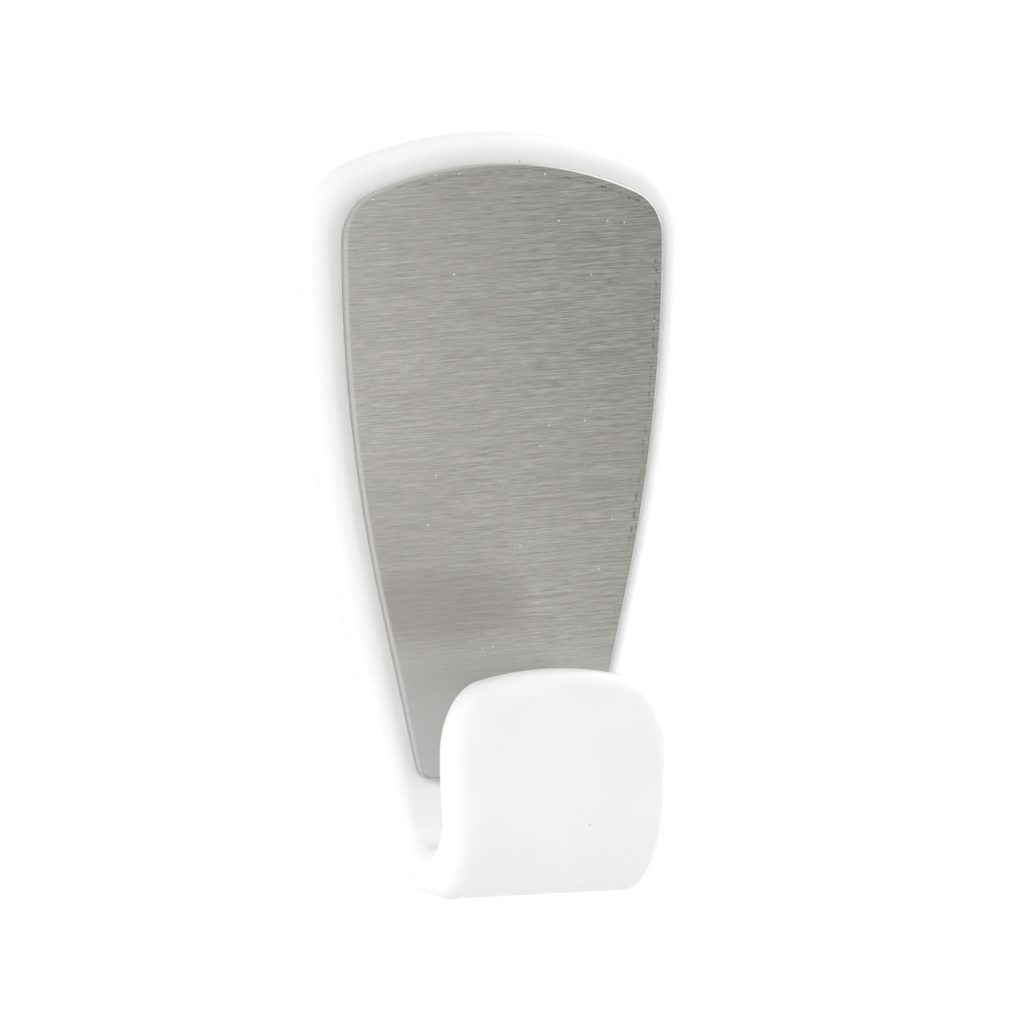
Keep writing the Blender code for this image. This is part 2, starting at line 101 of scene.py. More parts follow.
HEAD_POCKET_RADIUS = 5.3 * MM
NECK_HOLE_RADIUS = 3.5 * MM
NECK_CUT_DEPTH = 0.5 * MM
CUT_PAST_FRONT = 5.0 * MM
CUT_PAST_BACK = 1.0 * MM
RECESS_DEPTH = 0.24 * MM
RECESS_INSET = 0.35 * MM
FACE_WIDTH = FACE_HIGH.x - FACE_LOW.x
FACE_CROWN_HEIGHT = FACE_HIGH.z - FOOT_Z
FACE_BOTTOM_HEIGHT = FACE_LOW.z - FOOT_Z
FACE_CROWN_RADIUS = 42.8 * MM
FACE_CORNER_RADIUS = 5.2 * MM
FACE_SIDE_RADIUS = 157.0 * MM
FACE_BOTTOM_CORNER = 1.5 * MM
ARC_STEPS = 24
BEND_STEPS = 28
ROUND_STEPS = 10
HOLE_SEGMENTS = 96
SHARP_ANGLE = math.radians(35)
ON_CENTRE_LINE = 1e-9
SAME_RUN = 1e-7
WHITE = (0.885, 0.885, 0.885, 1.0)
WHITE_SHADE = (0.866, 0.866, 0.866, 1.0)
DUST_GREY = (0.45, 0.45, 0.44, 1.0)
CLOUD_SIZE = 9.0 * MM
PEEL_SIZE = 0.35 * MM
PEEL_HEIGHT = 0.004 * MM
DUST_SPACING = 4.0 * MM


def arc(centre, radius, start, end, steps):
    """Points on a circle's arc: centre plus radius times (cosine, sine) of evenly spaced angles."""
    angles = np.linspace(start, end, steps + 1)
    return np.stack([centre[0] + radius * np.cos(angles), centre[1] + radius * np.sin(angles)], axis=1)


def crowned_top(width, top, crown_radius, corner_radius):
    """Right half of a crowned top as (x, height): the crown's arc, then a corner arc that touches it."""
    corner_x = width / 2 - corner_radius
    crown_centre = top - crown_radius
    corner_z = crown_centre + math.sqrt((crown_radius - corner_radius) ** 2 - corner_x ** 2)
    meet = math.atan2(corner_z - crown_centre, corner_x)
    crown = arc((0.0, crown_centre), crown_radius, math.pi / 2, meet, ARC_STEPS)
    corner = arc((corner_x, corner_z), corner_radius, meet, 0.0, ARC_STEPS)
    return np.concatenate([crown, corner[1:]])


def keystone(width, crown_height, crown_radius, corner_radius, side_radius, bottom):
    """Right half of a keystone as (x, height): crowned top, bowed side, then a straight taper down."""
    top = crowned_top(width, crown_height, crown_radius, corner_radius)
    side = arc((width / 2 - side_radius, top[-1, 1]), side_radius, 0.0, -SIDE_TAPER, ARC_STEPS)
    foot_x = side[-1, 0] - math.tan(SIDE_TAPER) * (side[-1, 1] - bottom)
    return np.concatenate([top, side[1:], [(foot_x, bottom)]])


def round_foot(half, radius):
    """Replaces the last corner of a keystone half by an arc that touches its side and its level bottom."""
    x, z = half[-1]
    reach = radius * math.tan((math.pi / 2 - SIDE_TAPER) / 2)
    foot = arc((x - reach, z + radius), radius, -SIDE_TAPER, -math.pi / 2, ARC_STEPS)
    return np.concatenate([half[:-1], foot])


def both_sides(half):
    """Closed loop, clockwise from the front: a right half and its mirror image, centre points once."""
    mirror = half[half[:, 0] > ON_CENTRE_LINE][::-1] * [-1, 1]
    return np.concatenate([half, mirror])


def face_outline(step_in):
    """Closed outline of the steel face, moved in by a distance: width, height and radii shrink by it."""
    half = keystone(FACE_WIDTH - 2 * step_in, FACE_CROWN_HEIGHT - step_in, FACE_CROWN_RADIUS - step_in,
                    FACE_CORNER_RADIUS - step_in, FACE_SIDE_RADIUS - step_in, FACE_BOTTOM_HEIGHT + step_in)
    return both_sides(round_foot(half, FACE_BOTTOM_CORNER))


def inset(loop, distance):
    """Moves a clockwise loop in, each corner along its mitre: the sum of the normals over 1 + cosine."""
    along = np.roll(loop, -1, axis=0) - loop
    along /= np.linalg.norm(along, axis=1)[:, None]
    ahead = np.stack([along[:, 1], -along[:, 0]], axis=1)
    behind = np.roll(ahead, 1, axis=0)
    mitre = (ahead + behind) / (1 + np.sum(ahead * behind, axis=1))[:, None]
    return loop + distance * mitre


def at_depth(loop, depth):
    """Puts (x, height) points into the frame at a depth in front of the heel."""
    depths = np.broadcast_to(depth, loop.shape[:1])
    return np.stack([loop[:, 0], HEEL_Y - depths, FOOT_Z + loop[:, 1]], axis=1)


def ring_quads(rings, points):
    """Quads of a grid of closed rings: each joins points j and j + 1 of rings i and i + 1."""
    index = np.arange(rings * points).reshape(rings, points)
    ahead = np.roll(index, -1, axis=1)
    return np.stack([index[:-1], index[1:], ahead[1:], ahead[:-1]], axis=-1).reshape(-1, 4).tolist()


def new_mesh(name, vertices, faces, finish=None):
    """Object at the origin from an array of vertices, smooth shaded up to a sharp angle."""
    mesh = bpy.data.meshes.new(name)
    mesh.from_pydata(vertices.reshape(-1, 3), [], faces)
    mesh.shade_smooth()
    mesh.set_sharp_from_angle(angle=SHARP_ANGLE)
    if finish:
        mesh.materials.append(finish)
    piece = bpy.data.objects.new(name, mesh)
    bpy.context.scene.collection.objects.link(piece)
    return piece


def ring_solid(name, rings, finish=None):
    """Closed solid from a stack of rings, clockwise from the front, that runs from the back to the front."""
    rings = np.asarray(rings)
    count, points = rings.shape[:2]
    back = np.arange(points).tolist()
    front = np.arange((count - 1) * points, count * points)[::-1].tolist()
    return new_mesh(name, rings, [*ring_quads(count, points), back, front], finish)


def j_stations():
    """Side profile of the bent strip as rows of (run, throat depth, throat height, back depth, back height).

    Each row is one straight cross line of the strip. Its ends run down the plate, round the two throat arcs
    on one side and round heel and toe on the other, and up the lip. The toe is a tight arc and a wide one
    that touch. Run is the length along the middles.
    """
    rear_centre = (PLATE_ROOT_THICKNESS + THROAT_REAR_RADIUS, FLOOR_THICKNESS + THROAT_REAR_RADIUS)
    lip_centre = (LIP_BACK_DEPTH - THROAT_LIP_RADIUS, FLOOR_THICKNESS + THROAT_LIP_RADIUS)
    fall = 1.5 * math.pi - UNDERSIDE_SLOPE
    turn_end = 2 * math.pi - TOE_LEAN
    arcs_apart = TOE_LEAN_RADIUS - TOE_RADIUS
    lean_centre = (LIP_FRONT_DEPTH - TOE_LEAN_RADIUS, TOE_RADIUS + arcs_apart * math.sin(TOE_LEAN))
    toe_centre = (lean_centre[0] + arcs_apart * math.cos(TOE_LEAN), TOE_RADIUS)
    toe = np.concatenate([arc(toe_centre, TOE_RADIUS, fall, turn_end, BEND_STEPS)[:-1],
                          arc(lean_centre, TOE_LEAN_RADIUS, turn_end, 2 * math.pi, BEND_STEPS)])
    heel_end_depth = HEEL_RADIUS * (1 - math.sin(UNDERSIDE_SLOPE))
    heel_end_height = toe[0, 1] + math.tan(UNDERSIDE_SLOPE) * (toe[0, 0] - heel_end_depth)
    heel_height = heel_end_height + HEEL_RADIUS * math.cos(UNDERSIDE_SLOPE)
    heel = arc((HEEL_RADIUS, heel_height), HEEL_RADIUS, math.pi, fall, BEND_STEPS)
    throat_rear = arc(rear_centre, THROAT_REAR_RADIUS, math.pi, 1.5 * math.pi, BEND_STEPS)
    throat_lip = arc(lip_centre, THROAT_LIP_RADIUS, 1.5 * math.pi, 2 * math.pi, 2 * BEND_STEPS)
    plate_foot = max(rear_centre[1], heel_height) + BEND_BLEND
    lip_foot = max(lip_centre[1], lean_centre[1]) + BEND_BLEND
    crown_back = PLATE_ROOT_THICKNESS - PLATE_TOP_THICKNESS
    rows = np.concatenate([
        [(PLATE_ROOT_THICKNESS, PLATE_CROWN_HEIGHT, crown_back, PLATE_CROWN_HEIGHT)],
        [(PLATE_ROOT_THICKNESS, plate_foot, 0.0, plate_foot)],
        np.concatenate([throat_rear, heel], axis=1),
        np.concatenate([throat_lip, toe], axis=1),
        [(LIP_BACK_DEPTH, lip_foot, LIP_FRONT_DEPTH, lip_foot)],
        [(LIP_BACK_DEPTH, LIP_HEIGHT, LIP_FRONT_DEPTH, LIP_HEIGHT)],
    ])
    middle = (rows[:, 0:2] + rows[:, 2:4]) / 2
    steps = np.linalg.norm(np.diff(middle, axis=0), axis=1)
    return np.column_stack([np.concatenate([[0.0], np.cumsum(steps)]), rows])


def strip_outline(stations):
    """Right half of the unrolled strip as (x, run): keystone plate, a Hermite curve round the bend, the lip.

    The lip's crowned top is stretched in height about its crown, which makes its corners taller than wide.
    """
    foot_run, foot_height = stations[1, 0], stations[1, 2]
    lip_run, lip_foot = stations[-2, 0], stations[-2, 2]
    plate = keystone(PLATE_WIDTH, PLATE_CROWN_HEIGHT, PLATE_CROWN_RADIUS, PLATE_CORNER_RADIUS,
                     PLATE_SIDE_RADIUS, foot_height)
    plate[:, 1] = foot_run * (PLATE_CROWN_HEIGHT - plate[:, 1]) / (PLATE_CROWN_HEIGHT - foot_height)
    lip_top = crowned_top(LIP_WIDTH, LIP_HEIGHT, LIP_CROWN_RADIUS * LIP_TOP_STRETCH, LIP_CORNER_RADIUS)
    lip_top[:, 1] = LIP_HEIGHT - LIP_TOP_STRETCH * (LIP_HEIGHT - lip_top[:, 1])
    flare_start = math.asin((lip_foot - lip_top[-1, 1]) / LIP_FLARE_RADIUS)
    flare = arc((LIP_WIDTH / 2 - LIP_FLARE_RADIUS, lip_top[-1, 1]), LIP_FLARE_RADIUS, flare_start, 0.0,
                ARC_STEPS)
    lip = np.concatenate([flare, lip_top[-2::-1]])
    lip[:, 1] += lip_run - lip_foot
    span = lip_run - foot_run
    run = stations[2:-2, 0]
    run = run[np.concatenate([[True], np.diff(run) > SAME_RUN])]
    t = (run - foot_run) / span
    x = ((2 * t ** 3 - 3 * t ** 2 + 1) * plate[-1, 0]
         - (t ** 3 - 2 * t ** 2 + t) * math.tan(SIDE_TAPER) * span
         + (3 * t ** 2 - 2 * t ** 3) * lip[0, 0]
         - (t ** 3 - t ** 2) * math.tan(flare_start) * span)
    return np.concatenate([plate, np.stack([x, run], axis=1), lip])


def hook_body_shell(name, finish):
    """The strip's outline with quarter-round edges, carried round the J profile.

    A point at (x, run, share) lies on the cross line of its run, at that share of the way from the throat
    side to the back side. The rings step in from the outline along its normals by r (1 - cos a) and across
    the wall by r (1 - sin a), with the throat radius on one side and the back radius on the other. The large
    radius is on the side that faces the room: the plate's front, and the lip's front.
    """
    stations = j_stations()
    half = strip_outline(stations)
    foot_run, lip_run = stations[1, 0], stations[-2, 0]
    ends = np.concatenate([half[1:2] * [-1, 1], half, half[-2:-1] * [-1, 1]])
    steps = np.diff(ends, axis=0)
    steps /= np.linalg.norm(steps, axis=1)[:, None]
    along = steps[:-1] + steps[1:]
    along /= np.linalg.norm(along, axis=1)[:, None]
    normals = np.stack([-along[:, 1], along[:, 0]], axis=1)

    def across(run, share):
        """Depth and height at a share of the cross line of a run."""
        depth, height, back_depth, back_height = (np.interp(run, stations[:, 0], stations[:, k])
                                                  for k in (1, 2, 3, 4))
        return depth + (back_depth - depth) * share, height + (back_height - height) * share

    run = half[:, 1]
    turn = np.clip((run - foot_run) / (lip_run - foot_run), 0.0, 1.0)
    turn = turn * turn * (3 - 2 * turn)
    throat_round = PLATE_EDGE_ROUND + (LIP_BACK_ROUND - PLATE_EDGE_ROUND) * turn
    back_round = PLATE_REAR_ROUND + (LIP_EDGE_ROUND - PLATE_REAR_ROUND) * turn
    wall = np.hypot(*np.subtract(across(run, 1.0), across(run, 0.0)))
    limit = np.minimum(1.0, EDGE_SHARE_OF_WALL * wall / (throat_round + back_round))
    angles = np.linspace(math.pi / 2, 0.0, ROUND_STEPS + 1)[:, None]
    throat_in = throat_round * limit * (1 - np.cos(angles))
    throat_share = throat_round * limit * (1 - np.sin(angles)) / wall
    back_in = back_round * limit * (1 - np.cos(angles[::-1]))
    back_share = 1 - back_round * limit * (1 - np.sin(angles[::-1])) / wall
    step_in = np.concatenate([throat_in, back_in])
    share = np.concatenate([throat_share, back_share])
    ring_x = np.maximum(half[:, 0] + step_in * normals[:, 0], 0.0)
    ring_x[:, [0, -1]] = 0.0
    depth, height = across(run + step_in * normals[:, 1], share)
    right = np.stack([ring_x, HEEL_Y - depth, FOOT_Z + height], axis=2)
    rings = np.concatenate([right, right[:, -2:0:-1] * [-1, 1, 1]], axis=1)

    count, points = rings.shape[:2]
    bend = np.flatnonzero((run >= foot_run - SAME_RUN) & (run <= lip_run + SAME_RUN))
    plate = np.concatenate([np.arange(bend[0] + 1), np.arange(points - bend[0], points)])
    lip = np.arange(bend[-1], points - bend[-1] + 1)
    floor = np.stack([bend[:-1], bend[1:], points - bend[1:], points - bend[:-1]], axis=1)
    back = (count - 1) * points
    faces = [face[::-1] for face in ring_quads(count, points)]
    faces += [plate[::-1].tolist(), lip[::-1].tolist(), *floor[:, ::-1].tolist()]
    faces += [(plate + back).tolist(), (lip + back).tolist(), *(floor + back).tolist()]
    return new_mesh(name, rings, faces, finish)


def pocket_cutter(name, loop):
    """One pocket of the hollow back: a loop sunk to the web, its mouth flared and its floor edge filleted.

    The mouth follows the plate's back, which leans forward towards the crown, and starts a hair outside it,
    so that the cut is clean. Both roundings are quarter circles of the same radius.
    """
    plate_foot = j_stations()[1, 2]
    lean = (PLATE_ROOT_THICKNESS - PLATE_TOP_THICKNESS) / (PLATE_CROWN_HEIGHT - plate_foot)
    angles = np.linspace(0.0, math.pi / 2, ROUND_STEPS // 2 + 1)
    steps = [(-CAVITY_EDGE, -CUT_PAST_BACK, 0.0)]
    steps += [(CAVITY_EDGE * (math.sin(a) - 1), CAVITY_EDGE * (1 - math.cos(a)) - MOUTH_CLEAR, 0.0)
              for a in angles]
    steps += [(CAVITY_EDGE * (1 - math.cos(a)), CAVITY_EDGE * (math.sin(a) - 1), 1.0) for a in angles]
    rings = []
    for step_in, offset, floor in steps:
        ring = inset(loop, step_in)
        mouth = np.maximum(0.0, lean * (ring[:, 1] - plate_foot))
        rings.append(at_depth(ring, offset + floor * WEB_BACK_DEPTH + (1 - floor) * mouth))
    return ring_solid(name, rings)


def round_cutter(name, height, radius, back, front):
    """Cylinder along Y: a circle of points, clockwise from the front, at two depths."""
    circle = arc((0.0, height), radius, 2 * math.pi, 0.0, HOLE_SEGMENTS)[:-1]
    return ring_solid(name, [at_depth(circle, back), at_depth(circle, front)])


def carve(piece, cutters):
    """Takes the cutters out of a piece, keeps the result as the piece's own mesh and removes the cutters."""
    for cutter in cutters:
        cut = piece.modifiers.new("Cut " + cutter.name, "BOOLEAN")
        cut.object = cutter
    bpy.context.view_layer.update()
    graph = bpy.context.evaluated_depsgraph_get()
    carved = bpy.data.meshes.new_from_object(piece.evaluated_get(graph))
    piece.modifiers.clear()
    piece.data = carved
    for cutter in cutters:
        bpy.data.objects.remove(cutter)
    carved.set_sharp_from_angle(angle=SHARP_ANGLE)


class Socket:
    """An output of a node tree. Arithmetic on sockets and numbers adds Math nodes to the same tree."""

    def __init__(self, tree, output=None):
        self.tree = tree
        self.output = output

    def node(self, kind, settings, inputs, output=0):
        """Adds a node: its settings first, then a value or a link for each named or numbered input."""
        node = self.tree.nodes.new(kind)
        for name, value in settings.items():
            setattr(node, name, value)
        for name, value in inputs.items():
            if isinstance(value, Socket):
                self.tree.links.new(value.output, node.inputs[name])
            else:
                node.inputs[name].default_value = value
        return Socket(self.tree, node.outputs[output])

    def math(self, operation, first, second):
        """One Math node."""
        return self.node("ShaderNodeMath", {"operation": operation}, {0: first, 1: second})

    def __add__(self, other):
        return self.math("ADD", self, other)

    def __radd__(self, other):
        return self.math("ADD", other, self)

    def __sub__(self, other):
        return self.math("SUBTRACT", self, other)

    def __rsub__(self, other):
        return self.math("SUBTRACT", other, self)

    def __mul__(self, other):
        return self.math("MULTIPLY", self, other)

    def __rmul__(self, other):
        return self.math("MULTIPLY", other, self)

    def step(self, low, high, to_low=0.0, to_high=1.0):
        """Smooth rise from one value to another while this goes from low to high."""
        return self.node("ShaderNodeMapRange", {"interpolation_type": "SMOOTHSTEP"},
                         {0: self, 1: low, 2: high, 3: to_low, 4: to_high})

    def mix(self, first, second):
        """Colour between two colours, by this factor."""
        return self.node("ShaderNodeMix", {"data_type": "RGBA"}, {0: self, 6: first, 7: second}, 2)


def new_finish(name, **constants):
    """A Principled material with constants on its sockets. Gives it, its shader and Object coordinates."""
    finish = bpy.data.materials.new(name)
    finish.use_nodes = True
    shader = finish.node_tree.nodes["Principled BSDF"]
    for socket, value in constants.items():
        shader.inputs[socket.replace("_", " ")].default_value = value
    place = Socket(finish.node_tree).node("ShaderNodeTexCoord", {}, {}, "Object")
    return finish, shader, place


def feed(shader, socket, value):
    """Links a socket of the shader."""
    value.tree.links.new(value.output, shader.inputs[socket])


def relief(height, strength, distance):
    """Normal of a surface raised by a height from 0 to 1 times a distance, from one Bump node."""
    return height.node("ShaderNodeBump", {}, {"Strength": strength, "Distance": distance, "Height": height})


def noise(place, size, detail=2.0):
    """Soft noise from about 0.3 to 0.7, with features of a size in metres."""
    return place.node("ShaderNodeTexNoise", {}, {"Vector": place, "Scale": 1.0 / size, "Detail": detail})


white_plastic, white_shader, white_place = new_finish("white_plastic", Specular_IOR_Level=0.5)
cloud = noise(white_place, CLOUD_SIZE, 3.0)
peel = noise(white_place, PEEL_SIZE)
dust = white_place.node("ShaderNodeTexVoronoi", {}, {"Vector": white_place, "Scale": 1.0 / DUST_SPACING})
dust_spot = dust.step(0.028, 0.016)
tone = cloud.step(0.3, 0.7).mix(WHITE_SHADE, WHITE)
feed(white_shader, "Base Color", dust_spot.mix(tone, DUST_GREY))
feed(white_shader, "Roughness", cloud.step(0.25, 0.75, 0.30, 0.36) + 0.03 * peel)
feed(white_shader, "Normal", relief(peel, 0.25, PEEL_HEIGHT))

hook_body = hook_body_shell("moulded_body", white_plastic)
cavity_half = keystone(PLATE_WIDTH - 2 * SKIRT_WALL, PLATE_CROWN_HEIGHT - SKIRT_WALL,
                       PLATE_CROWN_RADIUS - SKIRT_WALL, PLATE_CORNER_RADIUS - SKIRT_WALL,
                       PLATE_SIDE_RADIUS - SKIRT_WALL, CAVITY_BOTTOM_HEIGHT)
cavity_half = round_foot(cavity_half, CAVITY_CORNER)
rib_height = (CUP_HEIGHTS["upper"] + CUP_HEIGHTS["lower"]) / 2
rib_top, rib_bottom = rib_height + RIB_WIDTH / 2, rib_height - RIB_WIDTH / 2
side_x = np.interp([rib_top, rib_bottom], cavity_half[::-1, 1], cavity_half[::-1, 0])
upper_half = np.concatenate([cavity_half[cavity_half[:, 1] > rib_top], [(side_x[0], rib_top)]])
lower_half = np.concatenate([[(side_x[1], rib_bottom)], cavity_half[cavity_half[:, 1] < rib_bottom]])
recess_loop = face_outline(RECESS_INSET)
recess_floor = PLATE_ROOT_THICKNESS - RECESS_DEPTH
past_front = PLATE_ROOT_THICKNESS + CUT_PAST_FRONT
cutters = [pocket_cutter("upper_pocket", both_sides(upper_half)),
           pocket_cutter("lower_pocket", both_sides(lower_half)),
           ring_solid("tape_recess", [at_depth(recess_loop, recess_floor),
                                      at_depth(recess_loop, past_front)])]
for place, height in CUP_HEIGHTS.items():
    cutters.append(round_cutter(place + "_head_pocket", height, HEAD_POCKET_RADIUS, SOCKET_STEP_DEPTH,
                                past_front))
    cutters.append(round_cutter(place + "_neck_hole", height, NECK_HOLE_RADIUS, NECK_CUT_DEPTH, past_front))
carve(hook_body, cutters)
even = hook_body.modifiers.new("Even shading", "WEIGHTED_NORMAL")
even.keep_sharp = True
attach(hook_body, "hook")
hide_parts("hook_body")

# Suction cups
# Two soft clear cups, each moulded in one piece: a thin dished skirt with a sealing edge, a hub, a short
# neck and a button head. The head is pressed through the round socket from behind and turns freely in it.
CUP_RADIUS = 15.0 * MM
CUP_LAND_RADIUS = 13.6 * MM
CUP_RIM_THICKNESS = 0.6 * MM
CUP_HUB_RADIUS = 6.0 * MM
CUP_NECK_RADIUS = 3.2 * MM
CUP_HEAD_RADIUS = 5.0 * MM
CUP_HEAD_THICKNESS = 0.8 * MM
CUP_CROWN_THICKNESS = 2.2 * MM
CUP_BACK_CURVE = 1.4
CUP_HOLLOW_CURVE = 2.2
CUP_FILLET = 0.35 * MM
CUP_SEGMENTS = 128
CUP_STEPS = 40
CUP_HUB_STEPS = 6
CUP_RIM_STEPS = 8
AXIAL_PLAY = 0.12 * MM
CLEAR = (0.86, 0.90, 0.90, 1.0)
CLEAR_HAZE = (0.80, 0.845, 0.845, 1.0)
FLOW_SIZE = 3.0 * MM
FLOW_HEIGHT = 0.02 * MM


def cup_profile():
    """Half section as (radius, distance from the wall), from the head's front round to the hollow's middle.

    The skirt's back falls by a power of the way out, and the hollow rises by another power towards the
    middle. Head, hub and rim have round edges, and the hub's takes the place of the skirt's first two points.
    """
    shoulder = WEB_BACK_DEPTH - HEEL_Y - AXIAL_PLAY
    head_back = SOCKET_STEP_DEPTH - HEEL_Y + AXIAL_PLAY
    head_front = head_back + CUP_HEAD_THICKNESS
    edge = CUP_HEAD_THICKNESS / 2
    hollow = shoulder - CUP_CROWN_THICKNESS
    rim_edge = CUP_RIM_THICKNESS / 2
    head_centre = (CUP_HEAD_RADIUS - edge, head_front - edge)
    hub_centre = (CUP_HUB_RADIUS - CUP_FILLET, shoulder - CUP_FILLET)
    head = arc(head_centre, edge, math.pi / 2, -math.pi / 2, CUP_STEPS // 2)
    hub = arc(hub_centre, CUP_FILLET, math.pi / 2, math.pi / 4, CUP_HUB_STEPS)
    share = np.linspace(0.0, 1.0, CUP_STEPS + 1)[:, None]
    drop = (shoulder - CUP_RIM_THICKNESS) * share ** CUP_BACK_CURVE
    skirt = np.concatenate([CUP_HUB_RADIUS + (CUP_RADIUS - CUP_HUB_RADIUS) * share, shoulder - drop], axis=1)
    rim = arc((CUP_RADIUS - rim_edge, rim_edge), rim_edge, 0.0, -math.pi / 2, CUP_RIM_STEPS)
    inner = np.concatenate([CUP_LAND_RADIUS * share, hollow * (1 - share ** CUP_HOLLOW_CURVE)], axis=1)
    return np.concatenate([[(0.0, head_front)], head, [(CUP_NECK_RADIUS, head_back)],
                           [(CUP_NECK_RADIUS, shoulder)], hub, skirt[2:], rim, inner[::-1]])


def turned_cup(name, height, finish):
    """The profile turned round an axis along Y: x is radius times sine, z height plus radius times cosine.

    The angle falls from ring point to ring point, which makes the faces point outwards.
    """
    profile = cup_profile()
    centre = FOOT_Z + height
    angles = np.linspace(2 * math.pi, 0.0, CUP_SEGMENTS, endpoint=False)
    radius, reach = profile[1:-1, 0:1], profile[1:-1, 1:2]
    rings = np.stack([radius * np.sin(angles), np.broadcast_to(-reach, (len(radius), CUP_SEGMENTS)),
                      centre + radius * np.cos(angles)], axis=2)
    poles = [(0.0, -profile[0, 1], centre), (0.0, -profile[-1, 1], centre)]
    count = len(rings) * CUP_SEGMENTS
    here = np.arange(CUP_SEGMENTS)
    ahead = np.roll(here, -1)
    last = count - CUP_SEGMENTS
    front_fan = np.stack([np.full(CUP_SEGMENTS, count), here, ahead], axis=1)
    wall_fan = np.stack([np.full(CUP_SEGMENTS, count + 1), last + ahead, last + here], axis=1)
    faces = ring_quads(len(rings), CUP_SEGMENTS) + front_fan.tolist() + wall_fan.tolist()
    return new_mesh(name, np.concatenate([rings.reshape(-1, 3), poles]), faces, finish)


clear_plastic, clear_shader, clear_place = new_finish("clear_soft_plastic", IOR=1.45,
                                                      Transmission_Weight=0.85)
flow = noise(clear_place, FLOW_SIZE, 3.0)
feed(clear_shader, "Base Color", flow.step(0.35, 0.7).mix(CLEAR, CLEAR_HAZE))
feed(clear_shader, "Roughness", flow.step(0.3, 0.7, 0.08, 0.18))
feed(clear_shader, "Normal", relief(flow, 0.3, FLOW_HEIGHT))
for place, height in CUP_HEIGHTS.items():
    cup = turned_cup(place + "_cup", height, clear_plastic)
    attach(cup, place + "_cup")
    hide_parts(place + "_suction_cup")

# Foam tape
# A die-cut sheet of double-sided foam tape, which stands in the plate's recess and carries the steel.
# It covers the cup heads. From the front only its edge can be seen, in the dark gap under the steel.
TAPE_INSET = 0.5 * MM
TAPE_BACK_DEPTH = 4.4 * MM
TAPE_THICKNESS = 0.85 * MM
TAPE_WHITE = (0.78, 0.77, 0.71, 1.0)
TAPE_SHADE = (0.70, 0.69, 0.62, 1.0)
FOAM_CELL_SIZE = 0.3 * MM

adhesive_foam, foam_shader, foam_place = new_finish("adhesive_foam")
cells = noise(foam_place, FOAM_CELL_SIZE, 3.0)
feed(foam_shader, "Base Color", cells.step(0.3, 0.7).mix(TAPE_SHADE, TAPE_WHITE))
feed(foam_shader, "Roughness", cells.step(0.2, 0.8, 0.55, 0.75))
tape_loop = face_outline(TAPE_INSET)
tape = ring_solid("foam_tape", [at_depth(tape_loop, TAPE_BACK_DEPTH),
                                at_depth(tape_loop, TAPE_BACK_DEPTH + TAPE_THICKNESS)], adhesive_foam)
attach(tape, "hook")
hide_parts("face_adhesive")

# Steel face
# A stainless sheet, blanked to the keystone outline and brushed crosswise, its front edge rolled over by the
# press. It is stuck on the foam tape and stands proud of the rim.
FACE_BACK_DEPTH = HEEL_Y - FACE_HIGH.y
FACE_FRONT_DEPTH = HEEL_Y - FACE_LOW.y
FACE_EDGE_ROUND = 0.3 * MM
FACE_FRONT_RINGS = np.array([0.5, 0.7, 0.9, 1.1, 1.3]) * MM
COOL_DARK = (0.382, 0.383, 0.356, 1.0)
COOL_LIGHT = (0.728, 0.732, 0.685, 1.0)
WARM_DARK = (0.393, 0.379, 0.354, 1.0)
WARM_LIGHT = (0.748, 0.724, 0.680, 1.0)
SHEARED_EDGE = (0.55, 0.545, 0.53, 1.0)
ROLLED_EDGE = (0.48, 0.475, 0.462, 1.0)
# Painted reflection: the lighter tone of the face's foot, where the steel mirrors the lip's white back
FOOT_REFLECTION_LIGHT = (0.79, 0.79, 0.775, 1.0)
# Dim warm tone, for the painted shade at the middle left and for a darker oval above the foot
DIM_WARM = (0.362, 0.341, 0.325, 1.0)
SCRATCH_DARK = (0.38, 0.372, 0.35, 1.0)
MARK_DARK = (0.24, 0.235, 0.225, 1.0)
SPECK_LIGHT = (0.92, 0.92, 0.90, 1.0)
# Length and width of the brush's lines, and how much each kind of line or patch changes the tone
BRUSH_TILT = math.radians(2.8)
BRUSH_THROUGH = 10.0 * MM
HAIR_LINE = (8.0 * MM, 0.15 * MM)
FINE_LINE = (1.8 * MM, 0.09 * MM)
BROAD_LINE = (40.0 * MM, 5.0 * MM)
SCRATCH_LINE = (5.0 * MM, 0.11 * MM)
TINT_SIZE = 2.2 * MM
GRAIN_SIZE = 0.15 * MM
HAIR_SHARE = 0.95
FINE_SHARE = 0.7
GRAIN_SHARE = 0.35
BROAD_SHARE = 0.12
SCRATCH_SHARE = 0.5
BRUSH_HEIGHT = 0.002 * MM
# Places on the face, as the X or Z where a change begins and the one where it is full
# The lighter foot is a painted reflection of the lip's white back
FOOT_REFLECTION_X = (6.0 * MM, -4.0 * MM)
FOOT_REFLECTION_Z = (-18.5 * MM, -27.5 * MM)
UPPER_RIGHT_X = (-2.0 * MM, 10.0 * MM)
UPPER_RIGHT_Z = (0.0, 10.0 * MM)
CALM_LEFT_X = (-12.0 * MM, 0.0)
CALM_FOOT_Z = (-18.0 * MM, -24.0 * MM)
# A patch of painted shade, which darkens the face's reflection at the middle left
SHADE_PATCH_X = (4.0 * MM, -13.0 * MM)
SHADE_PATCH_TOP_Z = (4.0 * MM, -11.0 * MM)
SHADE_PATCH_BOTTOM_Z = (-25.0 * MM, -17.0 * MM)
SHADE_PATCH_SHARE = 0.36
# A darker, warmer oval on the face, just above the foot
OVAL_MIDDLE = (-7.0 * MM, -16.2 * MM)
OVAL_HALF = (11.0 * MM, 5.0 * MM)
OVAL_SHARE = 0.45
